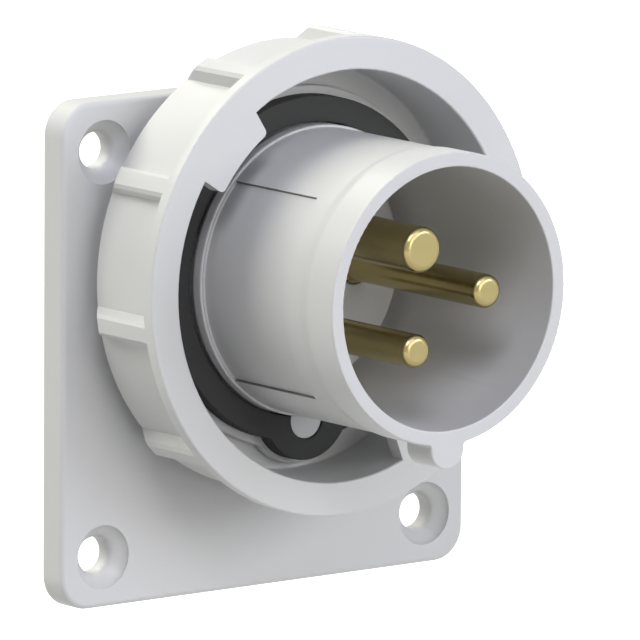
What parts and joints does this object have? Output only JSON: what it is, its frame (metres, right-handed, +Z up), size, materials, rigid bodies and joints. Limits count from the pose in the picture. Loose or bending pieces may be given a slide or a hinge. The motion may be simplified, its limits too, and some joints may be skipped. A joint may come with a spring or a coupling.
{
  "type": "panel inlet connector",
  "caption": "Square-flanged panel inlet with a round pin shroud, brass contact pins, a face seal and a ribbed bayonet locking ring.",
  "frame": {"origin": "middle of the square flange's four screw holes, on the flange's rear face", "axes": "-Y along the shroud towards the mating connector, +Z up with the key nose at the bottom, +X to the right seen from the front"},
  "size_m": [0.075, 0.0657, 0.0841],
  "materials": {
    "grey_housing": "satin",
    "grey_ring": "satin",
    "grey_insert": "satin",
    "seal_rubber": "matte",
    "pin_brass": "machined",
    "block_plastic": "satin",
    "screw_steel": "zinc plated",
    "gasket_rubber": "matte"
  },
  "bodies": {
    "inlet": {"flange_housing": "grey_housing", "shroud_insert": "grey_insert", "face_seal": "seal_rubber", "earth_pin": "pin_brass", "line_pin": "pin_brass", "neutral_pin": "pin_brass", "terminal_block": "block_plastic", "terminal_screws": "screw_steel", "block_screws": "screw_steel", "panel_gasket": "gasket_rubber"},
    "ring": {"locking_ring": "grey_ring"}
  },
  "joints": [
    {"name": "ring_turn", "type": "hinge", "parent": "inlet", "child": "ring", "pos_m": [0, -0.015, 0.0112], "axis": [0, 1, 0], "range_deg": [0, 45]}
  ]
}
